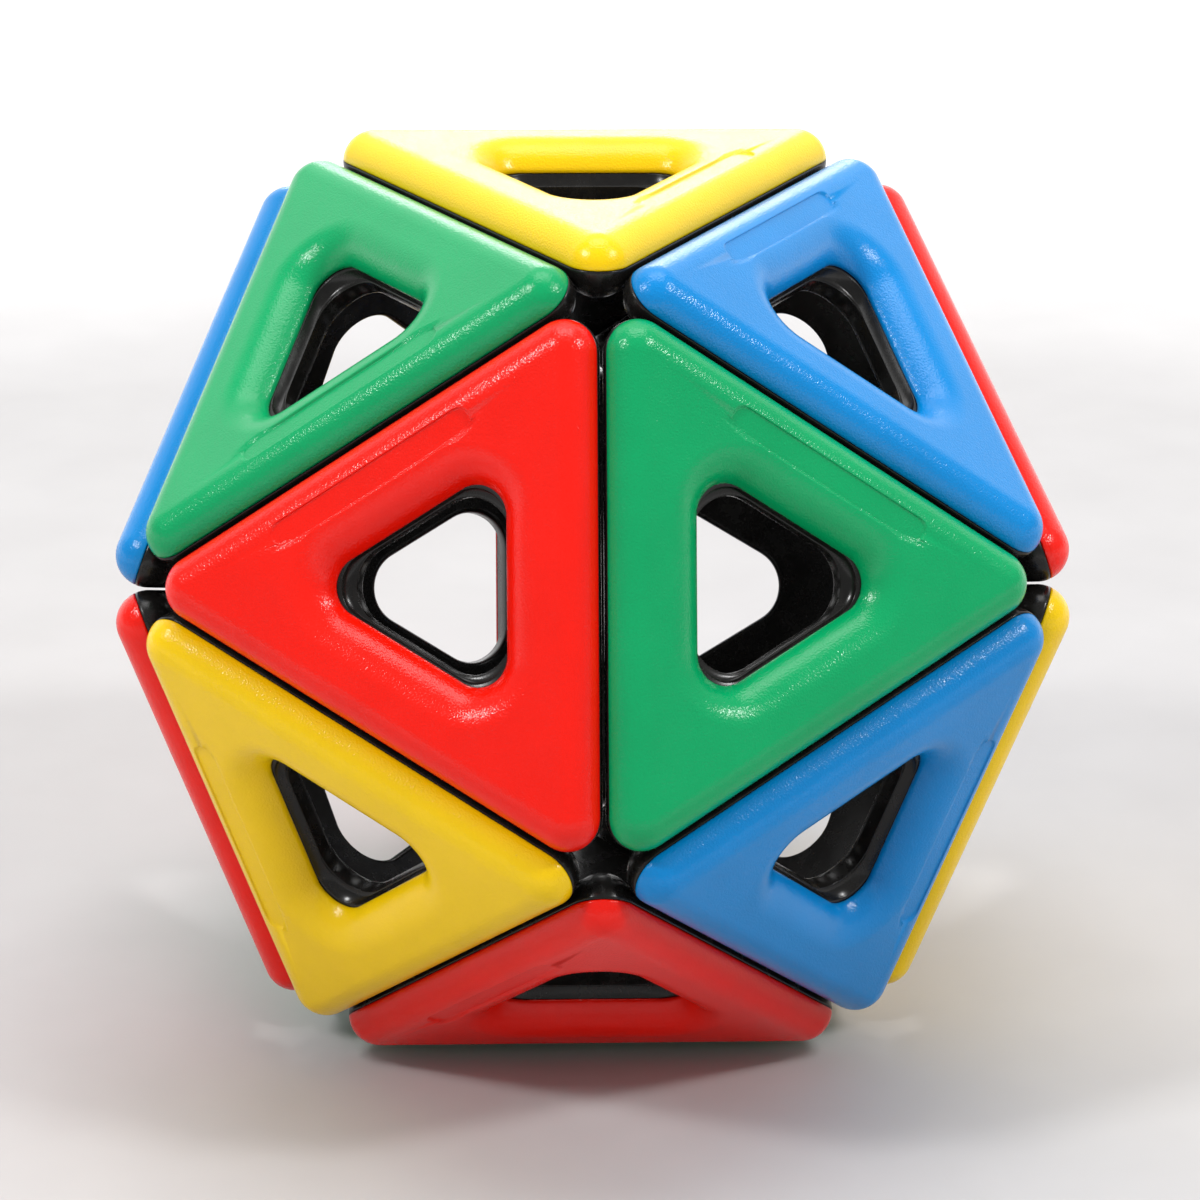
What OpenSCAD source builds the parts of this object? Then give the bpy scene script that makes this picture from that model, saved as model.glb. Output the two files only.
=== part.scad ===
// Icosahedron ball of magnetic triangle tiles.
// Every tile is a sealed shell: a coloured cover outside, a black base inside, and one
// free-turning rod magnet along each side. Neighbouring tiles fold about the edge they share.
// Frame: millimetres, +Z up along the ball's three-fold axis, origin at the centre of the
// resting face, -Y towards the front edge of the ball.

/* [Ball] */
// Side of the triangle that the fold lines of one tile make
edge = 75; // [70:1:90]
// Clearance between the rims of two neighbouring tiles
tile_gap = 0.3; // [0.2:0.05:0.6]

/* [Tile] */
// Full thickness of a tile; its rim is a half round of this diameter
thickness = 8.6; // [8.2:0.1:9]
// Wall thickness of cover and base
wall = 1.5; // [1.3:0.05:1.6]
// Height of the line between cover and base, above the middle of the tile
parting_z = 0.25; // [0.1:0.05:0.5]
// Radius of the rim's tip beyond its rounding, in plan
tip_flat = 0.1; // [0.05:0.05:0.3]

/* [Window] */
// Distance from the tile's centre to the straight sides of its window
window_inradius = 9.1; // [8.6:0.1:9.6]
// Corner radius of the window in the cover
window_corner = 4; // [3.5:0.1:4.5]
// How far the window's rounded mouth spreads over the cover
mouth_width = 5.3; // [5:0.1:5.6]
// How deep the window's rounded mouth goes
mouth_depth = 3.5; // [3.3:0.1:3.6]
// Height of the small ledge inside the window of the base
ledge_z = -1.5; // [-2:0.1:-1]
// How far the ledge stands into the window
ledge_step = 0.2; // [0.1:0.05:0.3]

/* [Recess] */
// Length of the shallow slot on the cover
recess_length = 31; // [24:1:34]
// Width of the slot
recess_width = 3.3; // [2:0.1:3.5]
// Depth of the slot
recess_depth = 0.3; // [0.1:0.05:0.4]
// Distance from the tile's rim to the middle of the slot
recess_inset = 5.2; // [5:0.1:5.4]

/* [Magnets] */
// Diameter of a rod magnet
magnet_d = 4.6; // [4:0.1:4.7]
// Length of a rod magnet
magnet_length = 18; // [18:1:26]
// Clearance between a rod magnet and its saddles
magnet_gap = 0.05; // [0.03:0.01:0.1]

/* [Hidden] */
$fn = 64;
half_t = thickness / 2;
golden = (1 + sqrt(5)) / 2;
dihedral = acos(-sqrt(5) / 3);
bore_margin = 1;

// Radii and heights of the ball's four rings of three corners, seen along the three-fold axis.
face_height = golden * golden * edge / (2 * sqrt(3));
waist_height = face_height / pow(golden, 3);
face_ring = edge / sqrt(3);
waist_ring = golden * face_ring;
rest_height = face_height + half_t;

// Plan of one tile: all distances are from its centre.
tile_inradius = edge / (2 * sqrt(3));
rim_axis = tile_inradius - (half_t + tile_gap / 2) / sin(dihedral / 2);
tile_rim = rim_axis + half_t;
rim_corner = rim_axis - tip_flat;
window_axis = window_inradius - window_corner;

// The window's mouth is part of a circle that is tangent to the cover's flat top.
mouth_r = (mouth_width * mouth_width + mouth_depth * mouth_depth) / (2 * mouth_depth);
mouth_edge = window_corner + mouth_width;
mouth_centre_z = half_t - mouth_r;

// Window of the base: a wider upper part and a tighter, rounder lower part below the ledge.
upper_corner_extra = 0.6;
lower_corner_extra = 1.6;
base_upper_corner = window_corner + upper_corner_extra;
base_lower_corner = window_corner + lower_corner_extra;
base_lower_inradius = window_inradius - ledge_step;
base_lip_r = 1;

// Number of flats that stand for each round stretch of a section, and for each turned corner.
corner_steps = 4;
rim_steps = 4;
mouth_steps = 3;
lip_steps = 2;

// The chamber for the magnets, between the window's wall and the rim.
floor_extra = 0.35;
window_wall_extra = 0.6;
rod_room = 0.2;
chamber_half = half_t - wall - floor_extra;
chamber_outer = rim_axis + magnet_d / 2 + rod_room;
chamber_inner = window_inradius + wall + window_wall_extra;
chamber_corner = 2.6;

// Inner fittings.
saddle_x = 8;
rib_t = 1.2;
stop_gap = 0.3;
post_r = 2;
post_distance = 27;
post_joint_z = -0.5;
post_joint_gap = 0.05;
bite = 0.2;

// Corners of the ball, ring by ring. Ring 0 is the resting face and ring 3 is the top face.
function ring_radius(ring) = (ring == 0 || ring == 3) ? face_ring : waist_ring;
function ring_height(ring) = [-face_height, -waist_height, waist_height, face_height][ring];
function ring_turn(ring) = (ring == 0 || ring == 2) ? 90 : 150;
function corner(c) = [
    ring_radius(c[0]) * cos(ring_turn(c[0]) + 120 * c[1]),
    ring_radius(c[0]) * sin(ring_turn(c[0]) + 120 * c[1]),
    ring_height(c[0])
];

// Each tile: its name, its three corners as [ring, number], and the colour of its cover.
// The slot on the cover lies along the side between the first two corners.
TILES = [
    ["bottom", [[0, 1], [0, 2], [0, 0]], "green"],
    ["skirt_front", [[1, 1], [0, 1], [0, 2]], "red"],
    ["skirt_left", [[0, 1], [1, 0], [0, 0]], "green"],
    ["skirt_right", [[0, 2], [1, 2], [0, 0]], "yellow"],
    ["lower_front_left", [[2, 1], [0, 1], [1, 1]], "yellow"],
    ["lower_front_right", [[2, 2], [0, 2], [1, 1]], "blue"],
    ["lower_left", [[0, 1], [1, 0], [2, 1]], "red"],
    ["lower_right", [[0, 2], [1, 2], [2, 2]], "yellow"],
    ["lower_back_left", [[1, 0], [2, 0], [0, 0]], "red"],
    ["lower_back_right", [[1, 2], [2, 0], [0, 0]], "blue"],
    ["front_left", [[3, 1], [2, 1], [1, 1]], "red"],
    ["front_right", [[3, 1], [2, 2], [1, 1]], "green"],
    ["upper_left", [[3, 0], [1, 0], [2, 1]], "blue"],
    ["upper_right", [[3, 2], [1, 2], [2, 2]], "red"],
    ["upper_back_left", [[3, 0], [2, 0], [1, 0]], "yellow"],
    ["upper_back_right", [[3, 2], [2, 0], [1, 2]], "blue"],
    ["collar_left", [[3, 1], [2, 1], [3, 0]], "green"],
    ["collar_right", [[3, 1], [3, 2], [2, 2]], "blue"],
    ["collar_back", [[3, 0], [2, 0], [3, 2]], "green"],
    ["top", [[3, 1], [3, 2], [3, 0]], "yellow"]
];
COVER_COLOURS = [
    ["red", "#e8281c"],
    ["green", "#00a45e"],
    ["blue", "#1f86d6"],
    ["yellow", "#f4d60c"]
];
BASE_COLOUR = "#1b1b1d";
PIECES = ["cover", "base", "magnets"];

function cover_colour(name) = [for (c = COVER_COLOURS) if (c[0] == name) c[1]][0];
function unit(v) = v / norm(v);

// Puts children drawn in a tile's own frame (+Z outwards, slot side at -Y) in their place.
module place_tile(tile) {
    p = [for (c = tile[1]) corner(c)];
    middle = (p[0] + p[1] + p[2]) / 3;
    z = unit(middle);
    y = unit(p[2] - (p[0] + p[1]) / 2);
    x = cross(y, z);
    at = middle + [0, 0, rest_height];
    multmatrix([
        [x[0], y[0], z[0], at[0]],
        [x[1], y[1], z[1], at[1]],
        [x[2], y[2], z[2], at[2]]
    ]) children();
}

// Closed ring that runs round the tile with the given cross-section. Each point of the section
// is [axis, reach, z]: it keeps the distance reach from a triangle whose sides are at distance
// axis from the tile's centre, so every line round the ring is a triangle with round corners.
module ring(section) {
    turns = [for (k = [0:2], i = [0:corner_steps]) [k, 30 + 120 * i / corner_steps]];
    count = len(section);
    points = [
        for (t = turns, s = section) let (a = t[1] + 120 * t[0], c = 90 + 120 * t[0])
            [2 * s[0] * cos(c) + s[1] * cos(a), 2 * s[0] * sin(c) + s[1] * sin(a), s[2]]
    ];
    faces = [
        for (i = [0:len(turns) - 1], j = [0:count - 1])
            let (next_i = (i + 1) % len(turns), next_j = (j + 1) % count)
                [i * count + j, next_i * count + j, next_i * count + next_j, i * count + next_j]
    ];
    polyhedron(points, faces);
}

// Section points along an arc about a point at distance centre_x from the axis triangle.
function arc(axis, centre_x, centre_z, r, from, to, steps) = [
    for (i = [0:steps])
        let (a = from + (to - from) * i / steps)
            [axis, centre_x + r * cos(a), centre_z + r * sin(a)]
];

// Section of the half-round rim, from one height to another.
function rim(from, to) = arc(rim_corner, tip_flat, 0, half_t, asin(from / half_t),
    asin(to / half_t), rim_steps);

// Section of the channel for the magnets: down (or up) its outer wall and back along the inner.
function channel(open_z, closed_z) = [
    [chamber_outer - chamber_corner, chamber_corner, open_z],
    [chamber_outer - chamber_corner, chamber_corner, closed_z],
    [window_axis, chamber_inner - window_axis, closed_z],
    [window_axis, chamber_inner - window_axis, open_z]
];

// Ribs across the rim's channel, cut out so that a rod magnet can lie and turn in them.
module saddles(low, high) {
    for (k = [0:2], side = [-1, 1]) rotate(120 * k)
        difference() {
            translate([side * saddle_x - rib_t / 2, -chamber_outer - bite, low])
                cube([rib_t, magnet_d + 2 * bite, high - low]);
            translate([0, -rim_axis, 0]) rotate([0, 90, 0])
                cylinder(r = magnet_d / 2 + magnet_gap, h = edge, center = true);
        }
}

// Posts near the tile's corners, where cover and base are welded together.
module weld_posts(low, high) {
    for (k = [0:2]) rotate(120 * k) translate([0, post_distance, low])
        cylinder(r = post_r, h = high - low);
}

// Shallow slot with round ends on the cover's flat top.
module recess() {
    straight = recess_length - recess_width;
    translate([0, -tile_rim + recess_inset, half_t - recess_depth]) linear_extrude(bore_margin) {
        square([straight, recess_width], center = true);
        for (side = [-1, 1]) translate([side * straight / 2, 0]) circle(d = recess_width);
    }
}

module cover(colour) {
    lip = acos(mouth_width / mouth_r);
    color(cover_colour(colour)) {
        difference() {
            ring(concat(
                [[window_axis, window_corner, parting_z]],
                arc(window_axis, mouth_edge, mouth_centre_z, mouth_r, 180 - lip, 90, mouth_steps),
                rim(half_t, parting_z),
                channel(parting_z, chamber_half)
            ));
            recess();
        }
        saddles(parting_z + bite, chamber_half + bite);
        weld_posts(post_joint_z + post_joint_gap, chamber_half + bite);
    }
}

// End stops that keep the rod magnets from sliding along their channels.
module magnet_stops(low, high) {
    for (k = [0:2], side = [-1, 1]) rotate(120 * k)
        translate([side * (magnet_length / 2 + stop_gap + rib_t / 2), -rim_axis, (low + high) / 2])
            cube([rib_t, magnet_d, high - low], center = true);
}

module base() {
    lower_axis = base_lower_inradius - base_lower_corner;
    upper_axis = window_inradius - base_upper_corner;
    color(BASE_COLOUR) {
        ring(concat(
            [
                [window_axis, chamber_inner - window_axis, parting_z],
                [window_axis, chamber_inner - window_axis, -chamber_half],
                [chamber_outer - chamber_corner, chamber_corner, -chamber_half],
                [chamber_outer - chamber_corner, chamber_corner, parting_z]
            ],
            rim(parting_z, -half_t),
            arc(lower_axis, base_lower_corner + base_lip_r, base_lip_r - half_t, base_lip_r,
                270, 180, lip_steps),
            [
                [lower_axis, base_lower_corner, ledge_z],
                [upper_axis, base_upper_corner, ledge_z],
                [upper_axis, base_upper_corner, parting_z]
            ]
        ));
        saddles(-chamber_half - bite, -bite);
        magnet_stops(-chamber_half - bite, -bite);
        weld_posts(-chamber_half - bite, post_joint_z);
    }
}

module magnets() {
    color("silver")
        for (k = [0:2]) rotate(120 * k) translate([0, -rim_axis, 0]) rotate([0, 90, 0])
            cylinder(d = magnet_d, h = magnet_length, center = true);
}

for (t = TILES) {
    place_tile(t) cover(t[2]);
    place_tile(t) base();
    place_tile(t) magnets();
}
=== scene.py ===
import math

import bmesh
import bpy
from mathutils import Matrix, Vector


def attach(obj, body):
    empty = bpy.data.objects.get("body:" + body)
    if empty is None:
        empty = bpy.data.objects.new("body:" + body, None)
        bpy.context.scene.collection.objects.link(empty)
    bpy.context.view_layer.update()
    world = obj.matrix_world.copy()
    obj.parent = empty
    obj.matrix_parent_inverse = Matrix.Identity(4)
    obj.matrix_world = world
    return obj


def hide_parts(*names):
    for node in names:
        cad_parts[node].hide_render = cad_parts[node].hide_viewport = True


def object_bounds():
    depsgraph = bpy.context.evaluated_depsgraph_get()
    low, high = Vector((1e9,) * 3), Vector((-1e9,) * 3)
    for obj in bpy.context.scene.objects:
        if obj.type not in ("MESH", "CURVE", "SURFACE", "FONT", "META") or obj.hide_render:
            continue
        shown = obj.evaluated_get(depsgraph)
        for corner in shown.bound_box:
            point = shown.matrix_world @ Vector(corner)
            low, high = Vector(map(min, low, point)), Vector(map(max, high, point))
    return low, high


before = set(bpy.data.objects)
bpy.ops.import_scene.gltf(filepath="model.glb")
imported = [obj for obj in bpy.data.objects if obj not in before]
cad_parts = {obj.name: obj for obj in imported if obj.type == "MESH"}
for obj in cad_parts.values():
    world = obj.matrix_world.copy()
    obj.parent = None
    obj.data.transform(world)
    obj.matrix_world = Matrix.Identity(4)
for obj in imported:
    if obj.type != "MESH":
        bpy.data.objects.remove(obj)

cad_low, cad_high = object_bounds()

# ---- The ball, in metres -----------------------------------------------------------------
MM = 0.001
THICKNESS = 8.6 * MM
HALF_T = THICKNESS / 2
TILE_GAP = 0.3 * MM
GOLDEN = (1 + math.sqrt(5)) / 2
FACE_HEIGHT = cad_high.z / 2 - HALF_T
EDGE = FACE_HEIGHT * 2 * math.sqrt(3) / GOLDEN**2
REST_HEIGHT = FACE_HEIGHT + HALF_T
CENTRE = Vector((0, 0, REST_HEIGHT))
RING_HEIGHTS = (-FACE_HEIGHT, -FACE_HEIGHT / GOLDEN**3, FACE_HEIGHT / GOLDEN**3, FACE_HEIGHT)
SMALL_RING = EDGE / math.sqrt(3)
WIDE_RING = GOLDEN * EDGE / math.sqrt(3)
RING_RADII = (SMALL_RING, WIDE_RING, WIDE_RING, SMALL_RING)
RING_TURNS = (90, 150, 90, 150)

# ---- One tile, in its own frame: +Z outwards, the slot's side at -Y ------------------------
TILE_INRADIUS = EDGE / (2 * math.sqrt(3))
HALF_DIHEDRAL = math.acos(-math.sqrt(5) / 3) / 2
RIM_AXIS = TILE_INRADIUS - (HALF_T + TILE_GAP / 2) / math.sin(HALF_DIHEDRAL)
TILE_RIM = RIM_AXIS + HALF_T
RIM_TIP = 0.1 * MM
PARTING_Z = 0.25 * MM
SEAM = 0.12 * MM
PARTING_ROOM = 0.02 * MM
EDGE_BREAK = 0.1 * MM
RIM_START_DROP = 0.03 * MM

WINDOW_AXIS = 5.1 * MM
LIP_REACH = 4.0 * MM
LIP_ROUND = 0.3 * MM
MOUTH_WIDTH = 5.3 * MM
MOUTH_DEPTH = 3.5 * MM
MOUTH_R = (MOUTH_WIDTH**2 + MOUTH_DEPTH**2) / (2 * MOUTH_DEPTH)
ROLL_END_ROOM = 0.3 * MM

UPPER_AXIS = 4.5 * MM
UPPER_REACH = 4.6 * MM
LOWER_AXIS = 3.3 * MM
LOWER_REACH = 5.6 * MM
LEDGE_Z = -1.5 * MM
LEDGE_ROUND = 0.12 * MM
LEDGE_RISE = 0.02 * MM
BASE_LIP_R = 1.0 * MM

CHAMBER_HALF = 2.4 * MM
CHAMBER_OUTER_AXIS = 16.787 * MM
CHAMBER_OUTER_REACH = 2.6 * MM
CHAMBER_INNER_REACH = 6.1 * MM

SLOT_LENGTH = 31 * MM
SLOT_WIDTH = 3.3 * MM
SLOT_DEPTH = 0.34 * MM
SLOT_EDGE = 0.16 * MM
SLOT_REACH = TILE_RIM - 5.2 * MM
SLOT_PITCH = 0.17 * MM
SLOT_END_LINES = 12

SIDE_STEP = 4 * MM
CORNER_STEPS = 20
ROLL_STEPS = 16
RIM_STEPS = 22
MERGE_DISTANCE = 0.0001 * MM


def corner(ring, number):
    """Corner of the ball as it stands on the floor."""
    turn = math.radians(RING_TURNS[ring] + 120 * number)
    return Vector((
        RING_RADII[ring] * math.cos(turn),
        RING_RADII[ring] * math.sin(turn),
        RING_HEIGHTS[ring] + REST_HEIGHT,
    ))


# Each tile's corners as (ring, number), its slot along the first two, and its cover's colour.
TILES = {
    "bottom": (((0, 1), (0, 2), (0, 0)), "green"),
    "skirt_front": (((1, 1), (0, 1), (0, 2)), "red"),
    "skirt_left": (((0, 1), (1, 0), (0, 0)), "green"),
    "skirt_right": (((0, 2), (1, 2), (0, 0)), "yellow"),
    "lower_front_left": (((2, 1), (0, 1), (1, 1)), "yellow"),
    "lower_front_right": (((2, 2), (0, 2), (1, 1)), "blue"),
    "lower_left": (((0, 1), (1, 0), (2, 1)), "red"),
    "lower_right": (((0, 2), (1, 2), (2, 2)), "yellow"),
    "lower_back_left": (((1, 0), (2, 0), (0, 0)), "red"),
    "lower_back_right": (((1, 2), (2, 0), (0, 0)), "blue"),
    "front_left": (((3, 1), (2, 1), (1, 1)), "red"),
    "front_right": (((3, 1), (2, 2), (1, 1)), "green"),
    "upper_left": (((3, 0), (1, 0), (2, 1)), "blue"),
    "upper_right": (((3, 2), (1, 2), (2, 2)), "red"),
    "upper_back_left": (((3, 0), (2, 0), (1, 0)), "yellow"),
    "upper_back_right": (((3, 2), (2, 0), (1, 2)), "blue"),
    "collar_left": (((3, 1), (2, 1), (3, 0)), "green"),
    "collar_right": (((3, 1), (3, 2), (2, 2)), "blue"),
    "collar_back": (((3, 0), (2, 0), (3, 2)), "green"),
    "top": (((3, 1), (3, 2), (3, 0)), "yellow"),
}


def tile_matrix(corners):
    """The tile's frame: its middle, +Z away from the ball's centre, slot side at -Y."""
    p = [corner(*c) for c in corners]
    middle = (p[0] + p[1] + p[2]) / 3
    z = (middle - CENTRE).normalized()
    y = (p[2] - (p[0] + p[1]) / 2).normalized()
    x = y.cross(z)
    return Matrix.Translation(middle) @ Matrix((x, y, z)).transposed().to_4x4()


# ---- Rings: sections swept round a triangle with round corners -----------------------------
def arc(axis, reach, height, r, start, end, steps):
    """Section points (axis, reach, z) along an arc; angles in degrees."""
    return [
        (axis, reach + r * math.cos(math.radians(a)), height + r * math.sin(math.radians(a)))
        for a in (start + (end - start) * i / steps for i in range(steps + 1))
    ]


def side_stations(slotted):
    """Places along one side, as distances from its middle; close together at a slot's ends."""
    if not slotted:
        return [i * SIDE_STEP for i in range(-2, 3)]
    end_start = (SLOT_LENGTH - SLOT_WIDTH - SLOT_EDGE) / 2
    fine = [end_start + i * SLOT_PITCH for i in range(SLOT_END_LINES)]
    middle = [i * end_start / 3 for i in range(-2, 3)]
    return [-x for x in reversed(fine)] + middle + fine


def side_point(direction, along, axis, reach, z):
    """Point beside a straight side whose outward direction is given in radians."""
    half_side = math.sqrt(3) * axis
    along = max(-half_side, min(half_side, along))
    return Vector((
        (axis + reach) * math.cos(direction) - along * math.sin(direction),
        (axis + reach) * math.sin(direction) + along * math.cos(direction),
        z,
    ))


def corner_point(direction, turn, axis, reach, z):
    """Point round the corner that lies in the given direction, in radians."""
    return Vector((
        2 * axis * math.cos(direction) + reach * math.cos(direction + turn),
        2 * axis * math.sin(direction) + reach * math.sin(direction + turn),
        z,
    ))


def ring_mesh(name, section, slotted=False):
    """A closed mesh that runs round the tile with the given section of (axis, reach, z) points.
    Each section point keeps its reach from a triangle whose sides are at its axis distance."""
    rows = []
    for k in range(3):
        side = math.radians(270 + 120 * k)
        for along in side_stations(slotted and k == 0):
            rows.append([side_point(side, along, *p) for p in section])
        for i in range(CORNER_STEPS + 1):
            turn = math.radians(-60 + 120 * i / CORNER_STEPS)
            rows.append([corner_point(side + math.pi / 3, turn, *p) for p in section])
    bm = bmesh.new()
    grid = [[bm.verts.new(p) for p in row] for row in rows]
    for i, row in enumerate(grid):
        following = grid[(i + 1) % len(grid)]
        for j in range(len(section)):
            after = (j + 1) % len(section)
            bm.faces.new((row[j], following[j], following[after], row[after]))
    bmesh.ops.remove_doubles(bm, verts=bm.verts, dist=MERGE_DISTANCE)
    bmesh.ops.recalc_face_normals(bm, faces=bm.faces)
    if slotted:
        press_slot(bm)
    mesh = bpy.data.meshes.new(name)
    bm.to_mesh(mesh)
    bm.free()
    mesh.shade_smooth()
    return mesh


def slot_distance(x, y):
    """Signed distance from the slot's outline in plan, negative inside."""
    straight = (SLOT_LENGTH - SLOT_WIDTH) / 2
    return math.hypot(max(abs(x) - straight, 0), y + SLOT_REACH) - SLOT_WIDTH / 2


def press_slot(bm):
    """Lowers the top of the cover inside the slot's outline to a level floor with soft edges."""
    floor = HALF_T - SLOT_DEPTH
    for v in bm.verts:
        if v.co.z < HALF_T - 2 * SLOT_DEPTH:
            continue
        inside = 0.5 - slot_distance(v.co.x, v.co.y) / SLOT_EDGE
        inside = max(0.0, min(1.0, inside))
        share = inside * inside * (3 - 2 * inside)
        v.co.z -= share * max(0.0, v.co.z - floor)


def rim_arc(start_z, end_z, steps):
    """The half-round rim from one height to another."""
    angles = [math.degrees(math.asin(z / HALF_T)) for z in (start_z, end_z)]
    return arc(RIM_AXIS - RIM_TIP, RIM_TIP, 0, HALF_T, angles[0], angles[1], steps)


def top_point(distance):
    """Point on the cover's top at a distance from the tile's centre, square to a side."""
    mouth_end = WINDOW_AXIS + LIP_REACH + MOUTH_WIDTH
    z = HALF_T
    if distance < mouth_end:
        z += math.sqrt(MOUTH_R**2 - (mouth_end - distance) ** 2) - MOUTH_R
    if distance > RIM_AXIS:
        z = math.sqrt(HALF_T**2 - (distance - RIM_AXIS) ** 2)
    share = (distance - mouth_end) / (RIM_AXIS - RIM_TIP - mouth_end)
    axis = WINDOW_AXIS + (RIM_AXIS - RIM_TIP - WINDOW_AXIS) * max(0.0, min(1.0, share))
    return (axis, distance - axis, z)


def slot_lines():
    """Distances of the section's points across the slot, close together at its two edges."""
    half, edge = SLOT_WIDTH / 2, SLOT_EDGE / 2
    edges = [half + edge * i / 3 for i in range(-3, 4)]
    inner = int((half - edge) / SLOT_PITCH)
    middle = [i * (half - edge) / inner for i in range(1 - inner, inner)]
    offsets = [-x for x in reversed(edges)] + middle + edges
    return [SLOT_REACH + x for x in offsets]


def cover_section():
    """The cover from the window's lip over the mouth, top and rim, then round the hollow inside."""
    mouth_end = LIP_REACH + MOUTH_WIDTH
    lip = math.degrees(math.acos(MOUTH_WIDTH / MOUTH_R))
    lines = slot_lines()
    roll_left = WINDOW_AXIS + mouth_end - lines[0] + ROLL_END_ROOM
    roll_end = math.degrees(math.acos(roll_left / MOUTH_R))
    underside = PARTING_Z + PARTING_ROOM
    points = [
        (WINDOW_AXIS, LIP_REACH + EDGE_BREAK, underside),
        (WINDOW_AXIS, LIP_REACH, PARTING_Z + LIP_ROUND / 2),
    ]
    points += arc(
        WINDOW_AXIS, mouth_end, HALF_T - MOUTH_R, MOUTH_R, 180 - lip, 180 - roll_end, ROLL_STEPS)
    points += [top_point(distance) for distance in lines]
    points += rim_arc(points[-1][2] - RIM_START_DROP, PARTING_Z + SEAM, RIM_STEPS)
    points += [
        (RIM_AXIS - RIM_TIP, RIM_TIP + HALF_T - SEAM, underside),
        (CHAMBER_OUTER_AXIS, CHAMBER_OUTER_REACH, underside),
        (CHAMBER_OUTER_AXIS, CHAMBER_OUTER_REACH, CHAMBER_HALF),
        (WINDOW_AXIS, CHAMBER_INNER_REACH, CHAMBER_HALF),
        (WINDOW_AXIS, CHAMBER_INNER_REACH, underside),
    ]
    return points


def base_section():
    """The base round the hollow inside, then down the rim, under the back and up the window wall."""
    rim_axis = RIM_AXIS - RIM_TIP
    top = PARTING_Z - PARTING_ROOM
    points = [
        (WINDOW_AXIS, CHAMBER_INNER_REACH, top),
        (WINDOW_AXIS, CHAMBER_INNER_REACH, -CHAMBER_HALF),
        (CHAMBER_OUTER_AXIS, CHAMBER_OUTER_REACH, -CHAMBER_HALF),
        (CHAMBER_OUTER_AXIS, CHAMBER_OUTER_REACH, top),
        (rim_axis, RIM_TIP + HALF_T - SEAM, top),
    ]
    points += rim_arc(PARTING_Z - SEAM, -HALF_T, RIM_STEPS)
    points += arc(
        LOWER_AXIS, LOWER_REACH + BASE_LIP_R, BASE_LIP_R - HALF_T, BASE_LIP_R, 270, 180, 8)
    points += arc(
        LOWER_AXIS, LOWER_REACH + LEDGE_ROUND, LEDGE_Z - LEDGE_ROUND, LEDGE_ROUND, 180, 90, 3)
    points += [
        (UPPER_AXIS, UPPER_REACH, LEDGE_Z + LEDGE_RISE),
        (UPPER_AXIS, UPPER_REACH, top - EDGE_BREAK),
        (UPPER_AXIS, UPPER_REACH + EDGE_BREAK, top),
    ]
    return points


# ---- Materials -----------------------------------------------------------------------------
# A noise scale is in cycles a metre, so the grain's 3400 gives bumps about 0.3 mm apart.
MOTTLE_SCALE = 70
GRAIN_SCALE = 3400
GRAIN_DEPTH = 0.055 * MM
FLOW_SCALE = 420
FLOW_DEPTH = 0.05 * MM
MARKS_SCALE = 160
SCUFF_SCALE = 260
WAVE_SCALE = 700
WAVE_DEPTH = 0.03 * MM
RUB_SCALE = 420
PLATE_SCALE = 1500
PLATE_DEPTH = 0.02 * MM
FIBRE_SCALE = 40


def node(tree, kind, **settings):
    """A new shader node, with its inputs or its own settings given by name."""
    made = tree.nodes.new(kind)
    for key, value in settings.items():
        if key in made.inputs:
            made.inputs[key].default_value = value
        else:
            setattr(made, key, value)
    return made


def new_material(name):
    material = bpy.data.materials.new(name)
    material.use_nodes = True
    tree = material.node_tree
    shader = tree.nodes["Principled BSDF"]
    return material, tree, shader


def noise(tree, coordinates, scale, detail, roughness=0.5):
    made = node(tree, "ShaderNodeTexNoise", Scale=scale, Detail=detail, Roughness=roughness)
    tree.links.new(coordinates, made.inputs["Vector"])
    return made.outputs["Fac"]


def ramp(tree, fac, stops):
    made = node(tree, "ShaderNodeValToRGB")
    elements = made.color_ramp.elements
    for i, (place, colour) in enumerate(stops):
        element = elements[i] if i < 2 else elements.new(place)
        element.position = place
        element.color = (*colour, 1)
    tree.links.new(fac, made.inputs["Fac"])
    return made.outputs["Color"]


def map_range(tree, fac, low, high, from_low=0.0, from_high=1.0):
    made = node(tree, "ShaderNodeMapRange")
    made.inputs["From Min"].default_value = from_low
    made.inputs["From Max"].default_value = from_high
    made.inputs["To Min"].default_value = low
    made.inputs["To Max"].default_value = high
    tree.links.new(fac, made.inputs["Value"])
    return made.outputs["Result"]


def bump(tree, height, strength, distance, normal=None):
    made = node(tree, "ShaderNodeBump", Strength=strength, Distance=distance)
    tree.links.new(height, made.inputs["Height"])
    if normal is not None:
        tree.links.new(normal, made.inputs["Normal"])
    return made.outputs["Normal"]


def scaled(colour, share):
    """The colour made lighter or darker."""
    return tuple(min(1.0, c * share) for c in colour)


def cover_plastic(name, colour):
    """Satin moulded plastic: spark-eroded grain, faint flow mottling and fine handling marks."""
    material, tree, shader = new_material(name)
    coordinates = node(tree, "ShaderNodeTexCoord").outputs["Object"]
    mottle = noise(tree, coordinates, MOTTLE_SCALE, 3, 0.55)
    tree.links.new(
        ramp(tree, mottle, [(0.3, scaled(colour, 0.95)), (0.7, scaled(colour, 1.04))]),
        shader.inputs["Base Color"])
    grain = noise(tree, coordinates, GRAIN_SCALE, 1, 0.5)
    flow = noise(tree, coordinates, FLOW_SCALE, 2, 0.5)
    marks = noise(tree, coordinates, MARKS_SCALE, 4, 0.7)
    tree.links.new(map_range(tree, marks, 0.17, 0.25, 0.3, 0.7), shader.inputs["Roughness"])
    soft = bump(tree, flow, 0.3, FLOW_DEPTH)
    tree.links.new(bump(tree, grain, 1.0, GRAIN_DEPTH, soft), shader.inputs["Normal"])
    shader.inputs["IOR"].default_value = 1.5
    shader.inputs["Specular IOR Level"].default_value = 0.32
    return material


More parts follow.
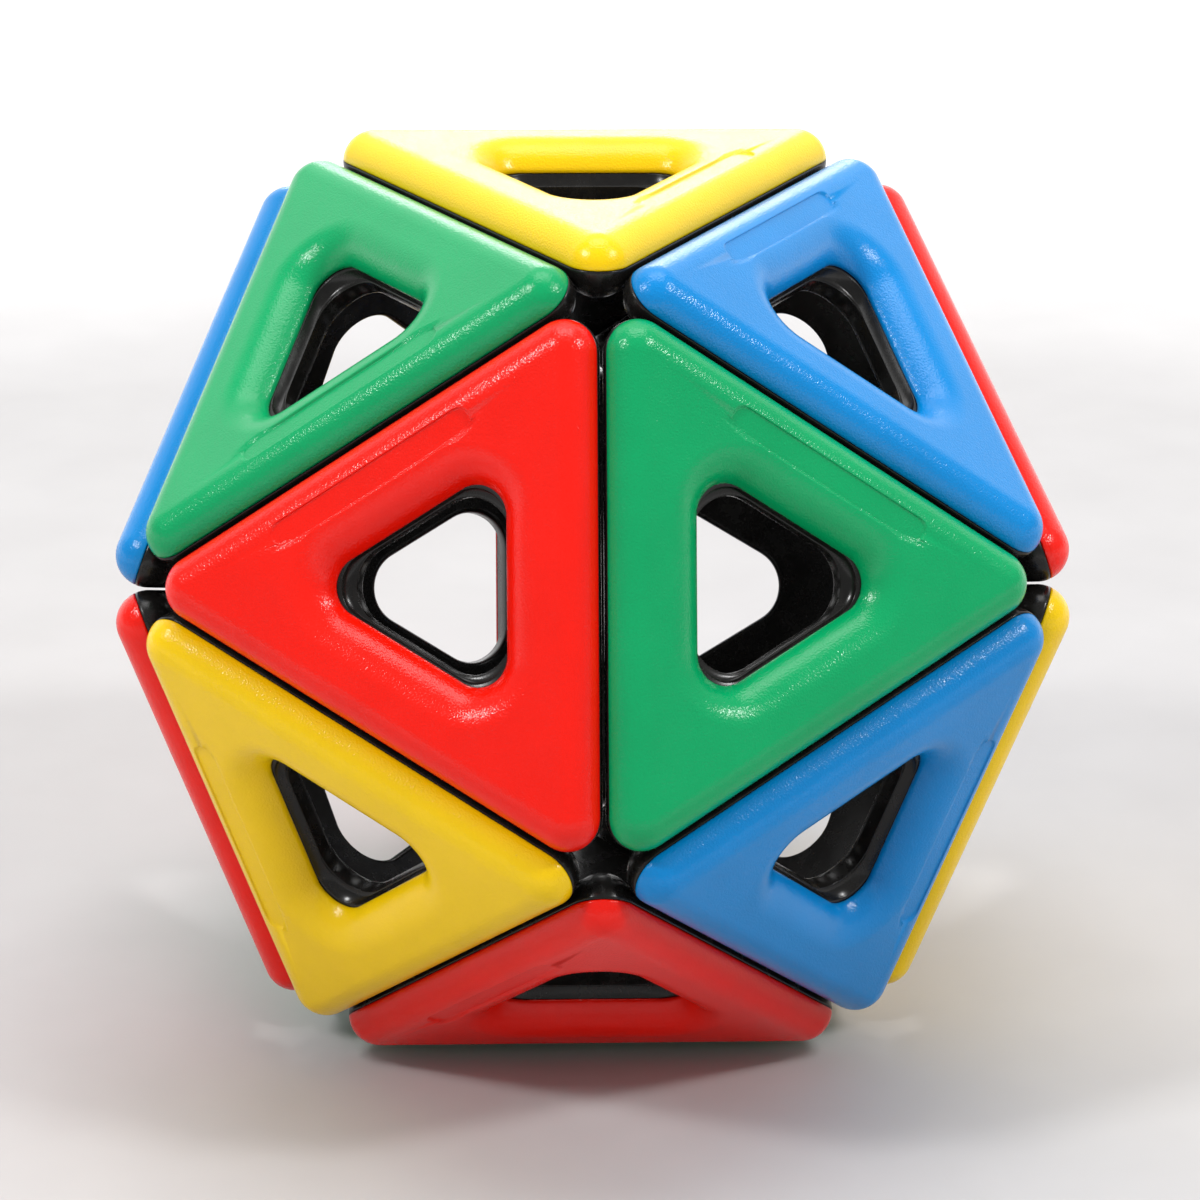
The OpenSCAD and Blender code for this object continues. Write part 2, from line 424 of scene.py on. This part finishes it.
def base_plastic():
    """Polished black plastic with faint scuffs."""
    material, tree, shader = new_material("base_gloss_black")
    coordinates = node(tree, "ShaderNodeTexCoord").outputs["Object"]
    scuffs = noise(tree, coordinates, SCUFF_SCALE, 5, 0.7)
    tree.links.new(
        ramp(tree, scuffs, [(0.35, (0.006, 0.0055, 0.005)), (0.75, (0.014, 0.013, 0.012))]),
        shader.inputs["Base Color"])
    tree.links.new(map_range(tree, scuffs, 0.2, 0.32, 0.35, 0.7), shader.inputs["Roughness"])
    waves = noise(tree, coordinates, WAVE_SCALE, 2)
    tree.links.new(bump(tree, waves, 0.12, WAVE_DEPTH), shader.inputs["Normal"])
    shader.inputs["IOR"].default_value = 1.5
    shader.inputs["Specular IOR Level"].default_value = 0.3
    return material


def magnet_plate():
    """Bright nickel plate, finely uneven, with rub marks."""
    material, tree, shader = new_material("magnet_nickel")
    coordinates = node(tree, "ShaderNodeTexCoord").outputs["Object"]
    rub = noise(tree, coordinates, RUB_SCALE, 4, 0.65)
    tree.links.new(
        ramp(tree, rub, [(0.3, (0.55, 0.53, 0.49)), (0.7, (0.72, 0.7, 0.66))]),
        shader.inputs["Base Color"])
    tree.links.new(map_range(tree, rub, 0.18, 0.34, 0.3, 0.7), shader.inputs["Roughness"])
    plate = noise(tree, coordinates, PLATE_SCALE, 3)
    tree.links.new(bump(tree, plate, 0.2, PLATE_DEPTH), shader.inputs["Normal"])
    shader.inputs["Metallic"].default_value = 1.0
    return material


COVER_COLOURS = {
    "red": (0.82, 0.007, 0.001),
    "green": (0.0, 0.32, 0.105),
    "blue": (0.0, 0.21, 0.56),
    "yellow": (0.86, 0.56, 0.0),
}

# ---- Build ---------------------------------------------------------------------------------
COVER_MESH = ring_mesh("cover", cover_section(), slotted=True)
BASE_MESH = ring_mesh("base", base_section())
COVER_PLASTICS = {c: cover_plastic("cover_" + c, rgb) for c, rgb in COVER_COLOURS.items()}
BASE_PLASTIC = base_plastic()
NICKEL = magnet_plate()


def add_shell(name, mesh, place, material):
    """A tile's cover or base, drawn where the tile lies, in place of its CAD node."""
    placed = mesh.copy()
    placed.transform(place)
    placed.materials.append(material)
    piece = bpy.data.objects.new(name + "_shell", placed)
    bpy.context.scene.collection.objects.link(piece)
    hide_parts(name)
    return piece


for tile, (corners, colour) in TILES.items():
    place = tile_matrix(corners)
    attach(add_shell(tile + "_cover", COVER_MESH, place, COVER_PLASTICS[colour]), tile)
    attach(add_shell(tile + "_base", BASE_MESH, place, BASE_PLASTIC), tile)
    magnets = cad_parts[tile + "_magnets"]
    magnets.data.materials.clear()
    magnets.data.materials.append(NICKEL)

# ---- Floor, light and camera ---------------------------------------------------------------
FLOOR_REACH = 6.0
FLOOR_CURVE = 1.2
# Painted light: the paper's glow, weaker near the ball where it lightens its shadow, stronger far
# off.
PAPER_GLOW = 1.0
PAINTED_GLOW_NEAR = 0.29
PAINTED_GLOW_FAR = 0.68
FLOOR_STEPS = 24

CAMERA_DISTANCE = 7.86 * EDGE
CAMERA_AZIMUTH = -2.05
CAMERA_ELEVATION = 20.8
CAMERA_ROLL = 0.0061
CAMERA_LENS = 126.7
CAMERA_SHIFT = (0.0109, -0.0115)


def studio_floor():
    """A pale sheet that runs level under the ball and rolls up behind it."""
    mesh = bpy.data.meshes.new("studio_floor")
    profile = [(-FLOOR_REACH / 2, 0.0), (FLOOR_REACH / 4, 0.0)]
    for i in range(1, FLOOR_STEPS + 1):
        a = math.pi / 2 * i / FLOOR_STEPS
        profile.append((
            FLOOR_REACH / 4 + FLOOR_CURVE * math.sin(a), FLOOR_CURVE * (1 - math.cos(a))))
    profile.append((FLOOR_REACH / 4 + FLOOR_CURVE, FLOOR_REACH))
    vertices = [(x, y, z) for y, z in profile for x in (-FLOOR_REACH, FLOOR_REACH)]
    faces = [(2 * i, 2 * i + 1, 2 * i + 3, 2 * i + 2) for i in range(len(profile) - 1)]
    mesh.from_pydata(vertices, [], faces)
    mesh.shade_smooth()
    mesh.materials.append(studio_paper())
    floor = bpy.data.objects.new("studio_floor", mesh)
    bpy.context.scene.collection.objects.link(floor)


def studio_paper():
    """Matt pale paper with a painted glow, though it is no lamp: weaker near the ball, where it
    lightens the ball's shadow, and stronger further off, so that it fades to white.
    """
    material, tree, shader = new_material("studio_paper")
    coordinates = node(tree, "ShaderNodeTexCoord").outputs["Object"]
    fibres = noise(tree, coordinates, FIBRE_SCALE, 3)
    tree.links.new(
        ramp(tree, fibres, [(0.3, (0.47, 0.46, 0.46)), (0.7, (0.495, 0.485, 0.485))]),
        shader.inputs["Base Color"])
    shader.inputs["Roughness"].default_value = 0.7
    shader.inputs["Specular IOR Level"].default_value = 0.2
    reach = node(tree, "ShaderNodeVectorMath", operation="LENGTH")
    tree.links.new(coordinates, reach.inputs[0])
    # Painted light: the glow rises with the distance from the ball.
    tree.links.new(
        map_range(tree, reach.outputs["Value"], 0.0, PAPER_GLOW, PAINTED_GLOW_NEAR, PAINTED_GLOW_FAR),
        shader.inputs["Emission Strength"])
    shader.inputs["Emission Color"].default_value = (1, 1, 1, 1)
    return material


def soft_box(name, place, size, power):
    """A rectangular lamp that faces the middle of the ball."""
    lamp = bpy.data.lights.new(name, "AREA")
    lamp.shape = "RECTANGLE"
    lamp.size, lamp.size_y = size
    lamp.energy = power
    made = bpy.data.objects.new(name, lamp)
    bpy.context.scene.collection.objects.link(made)
    made.location = place
    made.rotation_euler = (CENTRE - Vector(place)).to_track_quat("-Z", "Y").to_euler()


def studio_world():
    """Even white light from all round."""
    world = bpy.data.worlds.new("studio_world")
    bpy.context.scene.world = world
    world.use_nodes = True
    background = world.node_tree.nodes["Background"]
    background.inputs["Color"].default_value = (1, 1, 1, 1)
    background.inputs["Strength"].default_value = 0.5


def studio_camera():
    """Looks at the ball from above and a little from its left."""
    lens = bpy.data.cameras.new("camera")
    camera = bpy.data.objects.new("camera", lens)
    bpy.context.scene.collection.objects.link(camera)
    bpy.context.scene.camera = camera
    azimuth = math.radians(CAMERA_AZIMUTH)
    elevation = math.radians(CAMERA_ELEVATION)
    towards = Vector((
        math.sin(azimuth) * math.cos(elevation),
        -math.cos(azimuth) * math.cos(elevation),
        math.sin(elevation),
    ))
    camera.location = CENTRE + CAMERA_DISTANCE * towards
    turn = (-towards).to_track_quat("-Z", "Y")
    roll = Matrix.Rotation(CAMERA_ROLL, 3, "Z").to_quaternion()
    camera.rotation_euler = (turn @ roll).to_euler()
    lens.sensor_width = 36
    lens.lens = CAMERA_LENS
    lens.shift_x = CAMERA_SHIFT[0]
    lens.shift_y = CAMERA_SHIFT[1]
    lens.clip_start = 0.01
    lens.clip_end = 50


studio_floor()
studio_world()
soft_box("left", (-0.75, -0.38, 0.85), (0.15, 0.15), 5.4)
soft_box("right", (0.75, -0.38, 0.85), (0.15, 0.15), 5.4)
soft_box("overhead", (0.0, 0.1, 1.3), (0.9, 0.7), 8.5)
soft_box("rear", (0.03, 1.05, 0.5), (0.5, 0.3), 2.2)
studio_camera()
bpy.context.scene.view_settings.view_transform = "Standard"
